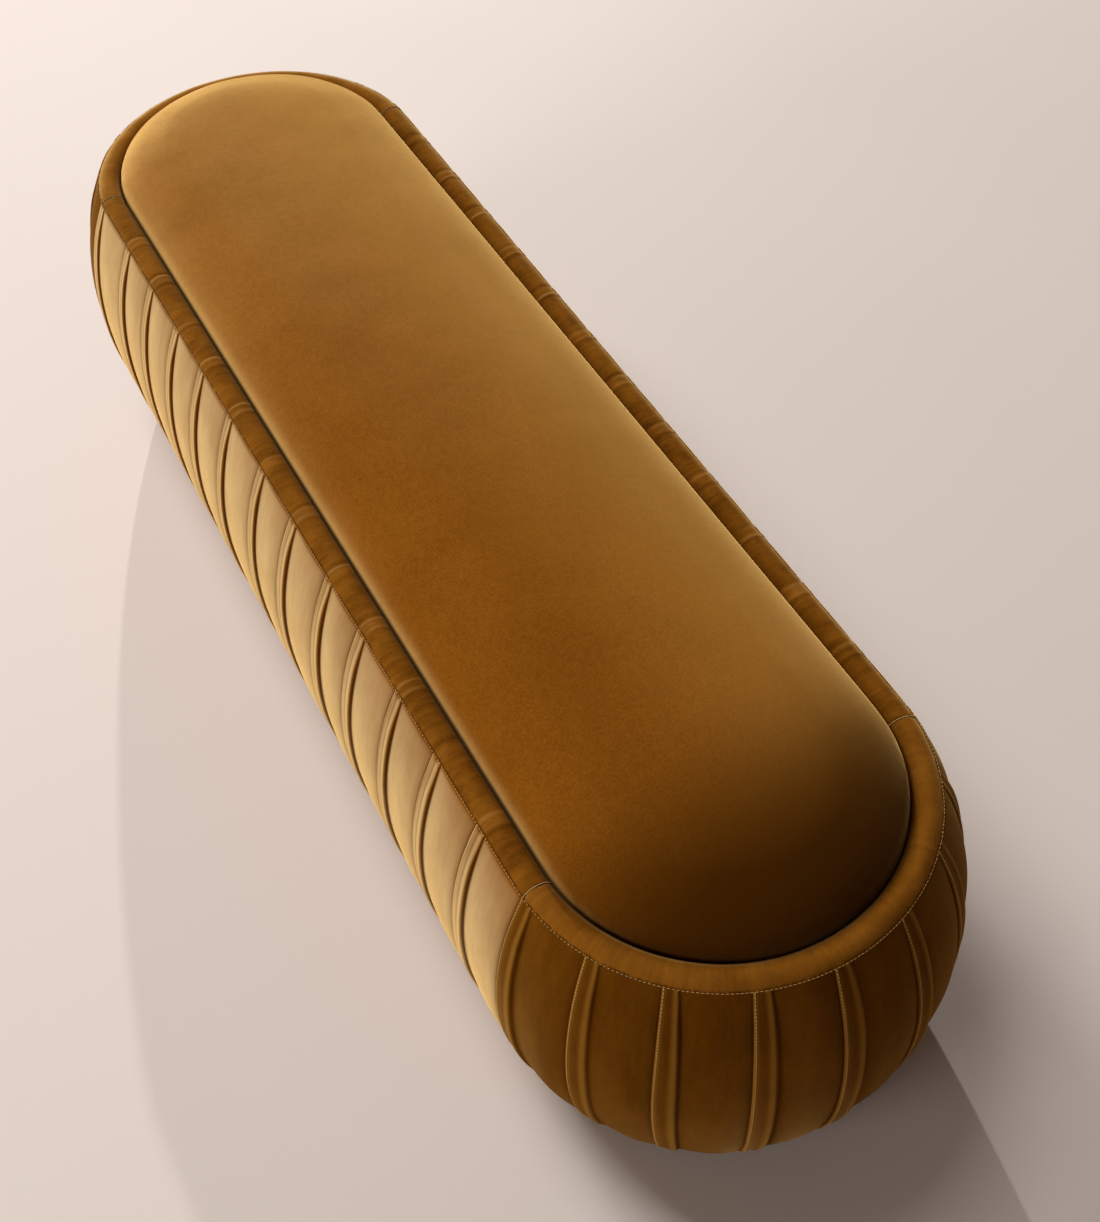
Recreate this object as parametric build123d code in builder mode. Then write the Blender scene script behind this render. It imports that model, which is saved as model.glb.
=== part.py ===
# Long oval bench: a timber frame, padded bulging sides in pleated velvet and a domed seat pad.
# Millimetres, +Z up, +X towards the right end, -Y towards the front.
# The origin is on the floor under the middle of the bench.
from math import atan2, cos, degrees, radians, sin, sqrt
import os

from build123d import *

os.makedirs("parts", exist_ok=True)

# Overall form
straight_length = 1133
seam_half_width = 210
seam_height = 367
bulge_depth = 38
bulge_height_share = 0.545
foot_turn_radius = 22
cuff_width = 30.5
pad_rise = 47
pad_crown_drop = 14
pad_edge_radius = 32
cuff_crown = 4.5
cuff_inner_drop = 3

# Soft layers
velvet_thickness = 1.5
layer_gap = 0.3
side_wadding_thickness = 8
seat_wadding_thickness = 5
crevice_gap = 0.4
hem_width = 20
seat_hem_width = 25

# Pleats, counted round the bench
pleats_on_long_side = 13
pleats_on_end = 8
last_pleat_overhang = 15
first_pleat_overhang = 25
pleat_width = 17.5
pleat_height = 3.8
pleat_top_height = 1.6
pleat_edge_radius = 0.9
thread_diameter = 0.9

# Timber frame
base_board_thickness = 18
top_ring_thickness = 18
top_ring_width = 70
deck_drop = 27
side_board_thickness = 4
foam_foot = 1
post_width = 45
post_depth = 28
post_stations = 4
post_setback = 41.5
end_post_setback = 4
cross_rail_height = 45
cross_rail_thickness = 20
corner_block_leg = 40
corner_block_thickness = 24

# Seat board and screws
seat_board_thickness = 12
seat_screw_inset = 32
end_screw_inset = 38
seat_screw_bite = 9
screw_diameter = 4
screw_head_diameter = 9
screw_head_height = 2.5
screw_point_length = 4
frame_screw_length = 60
screw_clearance = 0.1

# Underside
glide_diameter = 40
glide_height = 12
glide_edge = 2
felt_thickness = 3
felt_diameter = 36
glide_pocket_depth = 5
glide_row_inset = 56
glide_screw_length = 20
dust_cover_thickness = 0.6
dust_cover_inset = 9
staple_width = 10
staple_wire_width = 1.2
staple_wire_thickness = 0.6
staple_leg_length = 10
staple_row_inset = 25
staples_on_long_side = 14
staples_on_end = 7
staple_clearance = 0.05

# Levels worked out from the layers
bulge_height = seam_height * bulge_height_share
deck_height = seam_height - deck_drop
pad_top_height = seam_height + pad_rise
hem_bottom = glide_height + dust_cover_thickness + layer_gap
hem_top = hem_bottom + velvet_thickness
base_bottom = hem_top + layer_gap
base_top = base_bottom + base_board_thickness
ring_bottom = deck_height - top_ring_thickness
seat_hem_bottom = deck_height + layer_gap
seat_board_bottom = seat_hem_bottom + velvet_thickness + layer_gap
seat_board_top = seat_board_bottom + seat_board_thickness
seat_foam_bottom = seat_board_top + layer_gap
half_length = straight_length / 2
bulge_half_width = seam_half_width + bulge_depth
pad_half_width = seam_half_width - cuff_width

# The side swells on one arc through the seam and the widest point
side_rise = seam_height - bulge_height
side_radius = (side_rise**2 + bulge_depth**2) / (2 * bulge_depth)
side_centre = bulge_half_width - side_radius

# The foot turns under on a small arc that meets the side arc smoothly
turn_centre_height = hem_bottom + foot_turn_radius
turn_distance = side_radius - foot_turn_radius
turn_centre_reach = side_centre + sqrt(turn_distance**2 - (turn_centre_height - bulge_height) ** 2)
turn_angle = atan2(turn_centre_height - bulge_height, turn_centre_reach - side_centre)

# Frame widths follow the foot of the side foam
side_board_reach = turn_centre_reach - foam_foot - layer_gap
frame_half_width = side_board_reach - side_board_thickness - layer_gap
seat_board_half_width = pad_half_width - velvet_thickness - layer_gap
glide_row_half_width = frame_half_width - glide_row_inset
dust_cover_half_width = frame_half_width - dust_cover_inset
staple_row_half_width = frame_half_width - staple_row_inset

# Layer depths, measured inwards from the velvet's outer face
side_wadding_outer = velvet_thickness + layer_gap
side_wadding_inner = side_wadding_outer + side_wadding_thickness
side_foam_outer = side_wadding_inner + layer_gap
seat_wadding_outer = velvet_thickness + layer_gap
seat_wadding_inner = seat_wadding_outer + seat_wadding_thickness
seat_foam_outer = seat_wadding_inner + layer_gap

# The pad's crown is an arc over its full width, rounded down into an upright side
crown_radius = (pad_half_width**2 + pad_crown_drop**2) / (2 * pad_crown_drop)
crown_centre_height = pad_top_height - crown_radius
edge_centre_reach = pad_half_width - pad_edge_radius
edge_distance = crown_radius - pad_edge_radius
edge_centre_height = crown_centre_height + sqrt(edge_distance**2 - edge_centre_reach**2)
edge_angle = atan2(edge_centre_height - crown_centre_height, edge_centre_reach)

# Sections are drawn with their distance from the bench's spine across and their height up
front_plane = Plane(origin=(half_length, 0, 0), x_dir=(0, -1, 0), z_dir=(-1, 0, 0))
right_axis = Axis((half_length, 0, 0), (0, 0, 1))
left_axis = Axis((-half_length, 0, 0), (0, 0, 1))
last_pleat_angle = degrees(last_pleat_overhang / seam_half_width)
first_pleat_angle = degrees(first_pleat_overhang / seam_half_width)


def keep(piece, name):
    piece.part.label = name
    export_step(piece.part, f"parts/{name}.step")


def on_circle(centre, radius, angle):
    return (centre[0] + radius * cos(angle), centre[1] + radius * sin(angle))


def side_reach(height, depth=0):
    return side_centre + sqrt((side_radius - depth) ** 2 - (height - bulge_height) ** 2)


def side_line(depth, top):
    # the side's curve at one depth under the surface, from its foot up to a height
    side_middle = (side_centre, bulge_height)
    turn_middle = (turn_centre_reach, turn_centre_height)
    radius = side_radius - depth
    turn_radius = foot_turn_radius - depth
    foot = (turn_centre_reach, turn_centre_height - turn_radius)
    halfway = on_circle(turn_middle, turn_radius, (turn_angle - radians(90)) / 2)
    tangent = on_circle(turn_middle, turn_radius, turn_angle)
    top_angle = atan2(top - bulge_height, side_reach(top, depth) - side_centre)
    belly = on_circle(side_middle, radius, (turn_angle + top_angle) / 2)
    ThreePointArc(foot, halfway, tangent)
    ThreePointArc(tangent, belly, on_circle(side_middle, radius, top_angle))


def side_shell(outer, inner, inner_reach, top):
    # a layer of even thickness that follows the side and turns in under the foot
    outer_foot = (turn_centre_reach, hem_bottom + outer)
    inner_foot = (turn_centre_reach, hem_bottom + inner)
    with BuildLine() as outline:
        side_line(outer, top)
        Line((side_reach(top, outer), top), (side_reach(top, inner), top))
        side_line(inner, top)
        if inner_reach < turn_centre_reach:
            Polyline(inner_foot, (inner_reach, inner_foot[1]), (inner_reach, outer_foot[1]), outer_foot)
        else:
            Line(inner_foot, outer_foot)
    make_face(outline.edges())


def side_filling():
    # foam between the lining board and the wadding
    foot = (turn_centre_reach, hem_bottom + side_foam_outer)
    face = turn_centre_reach - foam_foot
    top = (side_reach(deck_height, side_foam_outer), deck_height)
    with BuildLine() as outline:
        side_line(side_foam_outer, deck_height)
        Polyline(top, (face, deck_height), (face, foot[1]), foot)
    make_face(outline.edges())


def side_board_section():
    middle_reach = side_board_reach - side_board_thickness / 2
    middle_height = (base_bottom + deck_height) / 2
    with Locations((middle_reach, middle_height)):
        Rectangle(side_board_thickness, deck_height - base_bottom)


# The cuff round the seat pad
cuff_reach = pad_half_width + crevice_gap
cuff_height = seam_height - cuff_inner_drop
cuff_bottom = deck_height + layer_gap
cuff_middle = ((seam_half_width + cuff_reach) / 2, (seam_height + cuff_height) / 2 + cuff_crown)


def cuff_cover():
    inner_reach = cuff_reach + velvet_thickness
    outer_start = (side_reach(seam_height), seam_height)
    inner_start = (side_reach(seam_height, velvet_thickness), seam_height)
    under_middle = (cuff_middle[0], cuff_middle[1] - velvet_thickness)
    under_corner = (inner_reach, cuff_height - velvet_thickness / 2)
    with BuildLine() as outline:
        ThreePointArc(outer_start, cuff_middle, (cuff_reach, cuff_height))
        Line((cuff_reach, cuff_height), (cuff_reach, cuff_bottom))
        Polyline((cuff_reach, cuff_bottom), (inner_reach, cuff_bottom), under_corner)
        ThreePointArc(under_corner, under_middle, inner_start)
        Line(inner_start, outer_start)
    make_face(outline.edges())


def cuff_filling():
    # a foam roll on the deck, under the cuff and behind the top of the side
    inner_reach = cuff_reach + velvet_thickness + layer_gap
    depth = velvet_thickness + 2 * layer_gap
    shoulder_height = seam_height - 2 * velvet_thickness
    shoulder = (side_reach(shoulder_height, depth), shoulder_height)
    halfway_height = (cuff_bottom + shoulder_height) / 2
    foot = (side_reach(cuff_bottom, depth), cuff_bottom)
    top = (cuff_middle[0], cuff_middle[1] - depth)
    corner = (inner_reach, cuff_height - depth)
    with BuildLine() as outline:
        ThreePointArc(foot, (side_reach(halfway_height, depth), halfway_height), shoulder)
        ThreePointArc(shoulder, top, corner)
        Polyline(corner, (inner_reach, cuff_bottom), foot)
    make_face(outline.edges())


def pad_line(depth, bottom):
    # the pad's curve at one depth under the surface, from its side up to the spine
    radius = pad_edge_radius - depth
    edge_middle = (edge_centre_reach, edge_centre_height)
    crown_middle = (0, crown_centre_height)
    side_top = (edge_centre_reach + radius, edge_centre_height)
    tangent = on_circle(edge_middle, radius, edge_angle)
    shoulder = on_circle(edge_middle, radius, edge_angle / 2)
    halfway = on_circle(crown_middle, crown_radius - depth, (edge_angle + radians(90)) / 2)
    Line((side_top[0], bottom), side_top)
    ThreePointArc(side_top, shoulder, tangent)
    ThreePointArc(tangent, halfway, (0, pad_top_height - depth))


def pad_shell(outer, inner, bottom):
    with BuildLine() as outline:
        pad_line(outer, bottom)
        Line((0, pad_top_height - outer), (0, pad_top_height - inner))
        pad_line(inner, bottom)
        Line((pad_half_width - inner, bottom), (pad_half_width - outer, bottom))
    make_face(outline.edges())


def pad_cover_section():
    pad_shell(0, velvet_thickness, seat_hem_bottom)
    hem_middle = pad_half_width - seat_hem_width / 2
    with Locations((hem_middle, seat_hem_bottom + velvet_thickness / 2)):
        Rectangle(seat_hem_width, velvet_thickness)


def pad_filling():
    with BuildLine() as outline:
        pad_line(seat_foam_outer, seat_foam_bottom)
        Line((0, pad_top_height - seat_foam_outer), (0, seat_foam_bottom))
        Line((0, seat_foam_bottom), (pad_half_width - seat_foam_outer, seat_foam_bottom))
    make_face(outline.edges())


def half_ring(draw_section):
    # the front straight and the right end, as one piece
    with BuildPart() as piece:
        with BuildSketch(front_plane) as section:
            draw_section()
        extrude(amount=straight_length)
        revolve(section.sketch, axis=right_axis, revolution_arc=180)
    return piece.part


def whole_ring(draw_section):
    half = half_ring(draw_section)
    with BuildPart() as piece:
        add(half)
        add(half, rotation=(0, 0, 180))
    return piece


def turned_plane(angle):
    # the section plane turned about the right end's axis, by degrees from the front
    turn = radians(angle)
    return Plane(
        origin=(half_length, 0, 0),
        x_dir=(sin(turn), -cos(turn), 0),
        z_dir=(-cos(turn), -sin(turn), 0),
    )


def keep_round_bench(draw_section, name):
    # four lengths butted where the straights meet the round ends
    with BuildPart() as front:
        with BuildSketch(front_plane):
            draw_section()
        extrude(amount=straight_length)
    with BuildPart() as right_end:
        with BuildSketch(front_plane) as section:
            draw_section()
        revolve(section.sketch, axis=right_axis, revolution_arc=180)
    keep_both_sides(front, right_end, name)


def keep_both_sides(front, right_end, name):
    # the back and the left end are the front and the right end turned half round
    with BuildPart() as back:
        add(front.part, rotation=(0, 0, 180))
    with BuildPart() as left_end:
        add(right_end.part, rotation=(0, 0, 180))
    keep(front, f"{name}_front")
    keep(back, f"{name}_back")
    keep(right_end, f"{name}_right_end")
    keep(left_end, f"{name}_left_end")


def keep_sewn_cover(draw_section, name):
    # four cloths sewn together at the first and last pleat of each long side
    with BuildPart() as front:
        with BuildSketch(front_plane) as section:
            draw_section()
        extrude(amount=straight_length)
        revolve(section.sketch, axis=right_axis, revolution_arc=last_pleat_angle)
        with BuildSketch(front_plane.offset(straight_length)) as far_section:
            draw_section()
        revolve(far_section.sketch, axis=left_axis, revolution_arc=-first_pleat_angle)
    with BuildPart() as right_end:
        with BuildSketch(turned_plane(last_pleat_angle)) as end_section:
            draw_section()
        end_arc = 180 - last_pleat_angle - first_pleat_angle
        revolve(end_section.sketch, axis=right_axis, revolution_arc=end_arc)
    keep_both_sides(front, right_end, name)


# Side linings, foam, wadding and velvet
keep_round_bench(side_board_section, "side_board")
keep_round_bench(side_filling, "side_foam")
keep_round_bench(
    lambda: side_shell(side_wadding_outer, side_wadding_inner, turn_centre_reach, deck_height),
    "side_wadding",
)
keep_sewn_cover(
    lambda: side_shell(0, velvet_thickness, turn_centre_reach - hem_width, seam_height),
    "side_cover",
)
keep_round_bench(cuff_filling, "cuff_roll")
keep_sewn_cover(cuff_cover, "cuff_cover")


# Pleats
def pleat_section(start_gap, height, top_height, top):
    # a fold that stands off the side and thins out towards the seam
    turn_middle = (turn_centre_reach, turn_centre_height)
    turn_radius = foot_turn_radius + height
    outer_foot = (turn_centre_reach, hem_bottom - height)
    inner_foot = (turn_centre_reach, hem_bottom - start_gap)
    halfway = on_circle(turn_middle, turn_radius, (turn_angle - radians(90)) / 2)
    tangent = on_circle(turn_middle, turn_radius, turn_angle)
    outer_top = (side_reach(top, -top_height), top)
    with BuildLine() as outline:
        ThreePointArc(outer_foot, halfway, tangent)
        TangentArc(tangent, outer_top, tangent=(-sin(turn_angle), cos(turn_angle)))
        Line(outer_top, (side_reach(top, -start_gap), top))
        side_line(-start_gap, top)
        Line(inner_foot, outer_foot)
    make_face(outline.edges())


pleat_top = seam_height - thread_diameter - 2 * layer_gap
pleat_pitch = (straight_length + first_pleat_overhang + last_pleat_overhang) / pleats_on_long_side
first_pleat_place = -half_length - first_pleat_overhang
end_pleat_pitch = (180 - last_pleat_angle - first_pleat_angle) / pleats_on_end
pleat_places = [first_pleat_place + pleat_pitch * count for count in range(1, pleats_on_long_side)]
end_pleat_angles = [last_pleat_angle + end_pleat_pitch * count for count in range(pleats_on_end + 1)]


# One pleat and its stitched line, ready to stand on the front of the bench at the origin
pleat_start_plane = Plane(origin=(0, 0, 0), x_dir=(0, -1, 0), z_dir=(-1, 0, 0))
with BuildPart() as pleat:
    with BuildSketch(pleat_start_plane):
        pleat_section(layer_gap, pleat_height, pleat_top_height, pleat_top)
    extrude(amount=-pleat_width)
    long_edges = pleat.edges().filter_by(lambda edge: edge.length > seam_height / 2)
    fillet(long_edges.sort_by(Axis.Y)[:2], pleat_edge_radius)

stitch_height = layer_gap + thread_diameter
with BuildPart() as stitch:
    with BuildSketch(pleat_start_plane.offset(layer_gap)):
        pleat_section(layer_gap, stitch_height, stitch_height, pleat_top)
    extrude(amount=thread_diameter)

# Along the front the pleats step sideways, round the right end they turn about its axis
half_pleat_angle = degrees(pleat_width / 2 / seam_half_width)
front_spots = [Location((place, 0, 0)) for place in pleat_places]
end_spots = []
for angle in end_pleat_angles:
    turned = Location((half_length, 0, 0), (0, 0, angle + half_pleat_angle))
    end_spots.append(turned * Location((-pleat_width / 2, 0, 0)))


def keep_pleat_rows(piece, name):
    with BuildPart() as front:
        with Locations(*front_spots):
            add(piece.part)
    with BuildPart() as right_end:
        with Locations(*end_spots):
            add(piece.part)
    keep_both_sides(front, right_end, name)


keep_pleat_rows(pleat, "pleats")
keep_pleat_rows(stitch, "pleat_stitches")


# Threads along the seam and across the cuff's joints
def seam_thread_section():
    with Locations((side_reach(seam_height) + thread_diameter / 2 + layer_gap, seam_height)):
        Circle(thread_diameter / 2)


seam_thread = whole_ring(seam_thread_section)
keep(seam_thread, "seam_thread")


cuff_arc = ThreePointArc((seam_half_width, seam_height), cuff_middle, (cuff_reach, cuff_height))
cuff_arc_middle = (cuff_arc.arc_center.X, cuff_arc.arc_center.Y)
cuff_start_angle = atan2(seam_height - cuff_arc_middle[1], seam_half_width - cuff_arc_middle[0])
cuff_end_angle = atan2(cuff_height - cuff_arc_middle[1], cuff_reach - cuff_arc_middle[0])


def cuff_thread_section():
    # a stitched line across the cuff, just above its velvet
    low = cuff_arc.radius + layer_gap
    high = low + thread_diameter
    step = thread_diameter / cuff_arc.radius
    first = cuff_start_angle + step
    last = cuff_end_angle - step
    middle = (first + last) / 2
    corners = [on_circle(cuff_arc_middle, radius, angle) for radius, angle in
               ((low, first), (high, first), (high, middle), (high, last), (low, last), (low, middle))]
    with BuildLine() as outline:
        Line(corners[0], corners[1])
        ThreePointArc(corners[1], corners[2], corners[3])
        Line(corners[3], corners[4])
        ThreePointArc(corners[4], corners[5], corners[0])
    make_face(outline.edges())


with BuildPart() as right_cuff_threads:
    for angle in (last_pleat_angle, 180 - first_pleat_angle):
        with BuildSketch(turned_plane(angle)):
            cuff_thread_section()
    extrude(amount=thread_diameter / 2, both=True)
with BuildPart() as cuff_threads:
    add(right_cuff_threads.part)
    add(right_cuff_threads.part, rotation=(0, 0, 180))
keep(cuff_threads, "cuff_joint_threads")

# Seat pad
seat_cover = whole_ring(pad_cover_section)
keep(seat_cover, "seat_cover")
seat_wadding = whole_ring(lambda: pad_shell(seat_wadding_outer, seat_wadding_inner, seat_foam_bottom))
keep(seat_wadding, "seat_wadding")
seat_foam = whole_ring(pad_filling)
keep(seat_foam, "seat_foam")

# Places of the posts, glides and screws
post_row = frame_half_width - post_depth / 2
post_spacing = (straight_length - 2 * post_setback) / (post_stations - 1)
station_middle = (post_stations - 1) / 2
post_line = [(count - station_middle) * post_spacing for count in range(post_stations)]
post_places = [(x, y) for x in post_line for y in (-post_row, post_row)]
end_post_place = half_length + frame_half_width - end_post_setback - post_depth / 2
end_post_places = [(-end_post_place, 0), (end_post_place, 0)]
glide_places = [(x, y) for x in post_line for y in (-glide_row_half_width, glide_row_half_width)]
# Seat screws stand midway between the posts
seat_screw_row = seat_board_half_width - seat_screw_inset
seat_screw_line = [place + post_spacing / 2 for place in post_line[:-1]]
seat_screw_places = [(x, y) for x in seat_screw_line for y in (-seat_screw_row, seat_screw_row)]
end_screw_place = half_length + seat_board_half_width - end_screw_inset
seat_screw_places += [(-end_screw_place, 0), (end_screw_place, 0)]
screw_radius = screw_diameter / 2
hole_radius = screw_radius + screw_clearance
sink_radius = screw_head_diameter / 2 + screw_clearance
base_underside = Plane(origin=(0, 0, base_bottom), z_dir=(0, 0, -1))
# Staples lie along the dust cover's edge, crown down
staple_pitch = straight_length / staples_on_long_side
staple_middle = (staples_on_long_side - 1) / 2
staple_line = [(count - staple_middle) * staple_pitch for count in range(staples_on_long_side)]
staple_rows = (-staple_row_half_width, staple_row_half_width)
staple_places = [Location((x, y, glide_height), (0, 0, 90)) for x in staple_line for y in staple_rows]
for count in range(staples_on_end):
    angle = (count + 1) * 180 / (staples_on_end + 1) - 90
    along = half_length + staple_row_half_width * cos(radians(angle))
    across = staple_row_half_width * sin(radians(angle))
    staple_places.append(Location((along, across, glide_height), (0, 0, angle)))
    staple_places.append(Location((-along, -across, glide_height), (0, 0, angle + 180)))

with BuildPart() as staple:
    Box(staple_wire_width, staple_width, staple_wire_thickness, align=(Align.CENTER, Align.CENTER, Align.MAX))
    with GridLocations(0, staple_width - staple_wire_thickness, 1, 2):
        Box(
            staple_wire_width,
            staple_wire_thickness,
            staple_leg_length,
            align=(Align.CENTER, Align.CENTER, Align.MIN),
        )

with BuildPart() as staple_slots:
    with GridLocations(0, staple_width - staple_wire_thickness, 1, 2):
        Box(
            staple_wire_width + 2 * staple_clearance,
            staple_wire_thickness + 2 * staple_clearance,
            staple_leg_length + staple_clearance,
            align=(Align.CENTER, Align.CENTER, Align.MIN),
        )

# Boards
with BuildPart() as base_board:
    with BuildSketch(Plane.XY.offset(base_bottom)):
        SlotOverall(straight_length + 2 * frame_half_width, 2 * frame_half_width)
    extrude(amount=base_board_thickness)
    with Locations(base_underside):
        with Locations(*post_places, *end_post_places):
            CounterSinkHole(hole_radius, sink_radius, counter_sink_angle=90)
        with Locations(*glide_places):
            Hole(hole_radius, depth=glide_height - felt_thickness - glide_pocket_depth + glide_screw_length)
    with Locations(*staple_places):
        add(staple_slots.part, mode=Mode.SUBTRACT)
keep(base_board, "base_board")

with BuildPart() as top_ring:
    with BuildSketch(Plane.XY.offset(ring_bottom)):
        SlotOverall(straight_length + 2 * frame_half_width, 2 * frame_half_width)
        inner_half_width = frame_half_width - top_ring_width
        SlotOverall(straight_length + 2 * inner_half_width, 2 * inner_half_width, mode=Mode.SUBTRACT)
    extrude(amount=top_ring_thickness)
    with Locations(Plane.XY.offset(deck_height)):
        with Locations(*post_places, *end_post_places):
            CounterSinkHole(hole_radius, sink_radius, counter_sink_angle=90)
        with Locations(*seat_screw_places):
            Hole(hole_radius)
keep(top_ring, "top_ring")

with BuildPart() as seat_board:
    with BuildSketch(Plane.XY.offset(seat_board_bottom)):
        SlotOverall(straight_length + 2 * seat_board_half_width, 2 * seat_board_half_width)
    extrude(amount=seat_board_thickness)
    with Locations(Plane(origin=(0, 0, seat_board_bottom), z_dir=(0, 0, -1))):
        with Locations(*seat_screw_places):
            Hole(hole_radius, depth=seat_screw_bite + screw_clearance)
keep(seat_board, "seat_board")

# Posts, rails and glue blocks
screw_reach_in_post = frame_screw_length - base_board_thickness + screw_clearance
post_underside = Plane(origin=(0, 0, base_top), z_dir=(0, 0, -1))


def upright(places, along, across):
    with BuildPart() as posts:
        with BuildSketch(Plane.XY.offset(base_top)):
            with Locations(*places):
                Rectangle(along, across)
        extrude(amount=ring_bottom - base_top)
        with Locations(Plane.XY.offset(ring_bottom)):
            with Locations(*places):
                Hole(hole_radius, depth=screw_reach_in_post)
        with Locations(post_underside):
            with Locations(*places):
                Hole(hole_radius, depth=screw_reach_in_post)
    return posts


frame_posts = upright(post_places, post_width, post_depth)
keep(frame_posts, "frame_posts")
end_posts = upright(end_post_places, post_depth, post_width)
keep(end_posts, "end_posts")

with BuildPart() as cross_rails:
    with BuildSketch(Plane.XY.offset(ring_bottom)):
        with GridLocations(post_spacing, 0, post_stations, 1):
            Rectangle(cross_rail_thickness, 2 * (frame_half_width - post_depth))
    extrude(amount=-cross_rail_height)
keep(cross_rails, "cross_rails")

with BuildPart() as corner_blocks:
    for x in post_line:
        with BuildSketch(Plane.YZ.offset(x)):
            with BuildLine():
                inner_face = frame_half_width - post_depth
                Polyline(
                    (inner_face, base_top),
                    (inner_face - corner_block_leg, base_top),
                    (inner_face, base_top + corner_block_leg),
                    close=True,
                )
            make_face()
            mirror(about=Plane.YZ)
    extrude(amount=corner_block_thickness / 2, both=True)
keep(corner_blocks, "corner_blocks")


# Screws stand head down at the origin and are placed by their heads
def make_screw(length, sunk):
    with BuildPart() as screw:
        with BuildSketch(Plane.XZ) as section:
            with BuildLine():
                head_radius = screw_head_diameter / 2
                neck = (screw_radius, screw_head_height if sunk else 0)
                low = (0, 0 if sunk else -screw_head_height)
                Line(low, (head_radius, low[1]))
                if not sunk:
                    Line((head_radius, low[1]), (head_radius, 0))
                Line((head_radius, 0), neck)
                Polyline(neck, (screw_radius, length - screw_point_length), (0, length), low)
            make_face()
        revolve(section.sketch, axis=Axis.Z)
    return screw.part


frame_screw = make_screw(frame_screw_length, True)
with BuildPart() as frame_screws:
    with Locations(Plane.XY.offset(base_bottom)):
        with Locations(*post_places, *end_post_places):
            add(frame_screw)
    with Locations(Plane(origin=(0, 0, deck_height), z_dir=(0, 0, -1))):
        with Locations(*post_places, *end_post_places):
            add(frame_screw)
keep(frame_screws, "frame_screws")

seat_screw_length = seat_board_bottom + seat_screw_bite - ring_bottom
with BuildPart() as seat_screws:
    with Locations(Plane.XY.offset(ring_bottom)):
        with Locations(*seat_screw_places):
            add(make_screw(seat_screw_length, False))
keep(seat_screws, "seat_screws")

# Underside
with BuildPart() as dust_cover:
    with BuildSketch(Plane.XY.offset(glide_height)):
        SlotOverall(straight_length + 2 * dust_cover_half_width, 2 * dust_cover_half_width)
        with Locations(*glide_places):
            Circle(hole_radius, mode=Mode.SUBTRACT)
    extrude(amount=dust_cover_thickness)
    with Locations(*staple_places):
        add(staple_slots.part, mode=Mode.SUBTRACT)
keep(dust_cover, "dust_cover")

with BuildPart() as dust_cover_staples:
    with Locations(*staple_places):
        add(staple.part)
keep(dust_cover_staples, "dust_cover_staples")

with BuildPart() as foot_glides:
    with BuildSketch(Plane.XY.offset(felt_thickness)):
        with Locations(*glide_places):
            Circle(glide_diameter / 2)
    extrude(amount=glide_height - felt_thickness)
    fillet(foot_glides.edges().group_by(Axis.Z)[0], radius=glide_edge)
    with Locations(Plane(origin=(0, 0, felt_thickness), z_dir=(0, 0, -1))):
        with Locations(*glide_places):
            CounterBoreHole(hole_radius, sink_radius, glide_pocket_depth)
keep(foot_glides, "foot_glides")

glide_screw = make_screw(glide_screw_length, False)
with BuildPart() as glide_screws:
    with Locations(Plane.XY.offset(felt_thickness + glide_pocket_depth)):
        with Locations(*glide_places):
            add(glide_screw)
keep(glide_screws, "glide_screws")

with BuildPart() as glide_felts:
    with BuildSketch(Plane.XY):
        with Locations(*glide_places):
            Circle(felt_diameter / 2)
    extrude(amount=felt_thickness)
keep(glide_felts, "glide_felts")
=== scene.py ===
import math

import bmesh
import bpy
from mathutils import Matrix, Vector, noise


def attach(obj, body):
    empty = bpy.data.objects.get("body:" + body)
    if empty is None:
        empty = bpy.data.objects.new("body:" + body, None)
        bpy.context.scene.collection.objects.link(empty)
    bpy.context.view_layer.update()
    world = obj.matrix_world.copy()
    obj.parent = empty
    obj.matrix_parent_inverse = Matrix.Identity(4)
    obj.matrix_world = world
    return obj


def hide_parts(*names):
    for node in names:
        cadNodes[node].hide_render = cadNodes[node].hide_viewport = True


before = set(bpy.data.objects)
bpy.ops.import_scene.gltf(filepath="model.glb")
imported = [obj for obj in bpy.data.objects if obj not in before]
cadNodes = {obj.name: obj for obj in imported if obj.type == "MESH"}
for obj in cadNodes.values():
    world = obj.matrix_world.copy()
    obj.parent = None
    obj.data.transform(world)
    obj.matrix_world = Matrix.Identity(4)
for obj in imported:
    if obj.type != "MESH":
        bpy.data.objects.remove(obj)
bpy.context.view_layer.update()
print("frame loaded,", len(cadNodes), "nodes")

# the bench's main sizes, the same as the frame's
bench = {
    "halfLength": 0.5665,  # from the middle to where the round ends begin
    "seamReach": 0.210,  # distance of the seam from the spine
    "seamHeight": 0.367,
    "bulgeReach": 0.248,  # where the sides stand out furthest
    "bulgeHeight": 0.2000,
    "footHeight": 0.0129,
    "turnRadius": 0.022,  # the foot turns under on this radius
    "hemWidth": 0.020,
    "padReach": 0.1795,
    "boardReach": 0.1854,  # outer face of the lining boards
}
halfLength = bench["halfLength"]
seamReach = bench["seamReach"]
straight = 2 * halfLength
halfRound = math.pi * seamReach
wholeWay = 2 * straight + 2 * halfRound
weldGap = 0.00002  # points nearer to each other than this are merged


def smoothStep(low, high, value):
    share = min(max((value - low) / (high - low), 0), 1)
    return share * share * (3 - 2 * share)


def wobble(*place):
    return noise.noise(Vector(place))


def benchSpot(along):
    # the spine's nearest point and the way outwards from it
    # along runs on the seam line from the front's left end, counter-clockwise seen from above
    along %= wholeWay
    flip = 1
    if along >= straight + halfRound:
        along -= straight + halfRound
        flip = -1
    if along < straight:
        return Vector((flip * (along - halfLength), 0, 0)), Vector((0, -flip, 0))
    angle = (along - straight) / seamReach
    return Vector((flip * halfLength, 0, 0)), Vector((flip * math.sin(angle), -flip * math.cos(angle), 0))


def spotAt(along, reach, height):
    spine, outward = benchSpot(along)
    return spine + outward * reach + Vector((0, 0, height))


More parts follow.
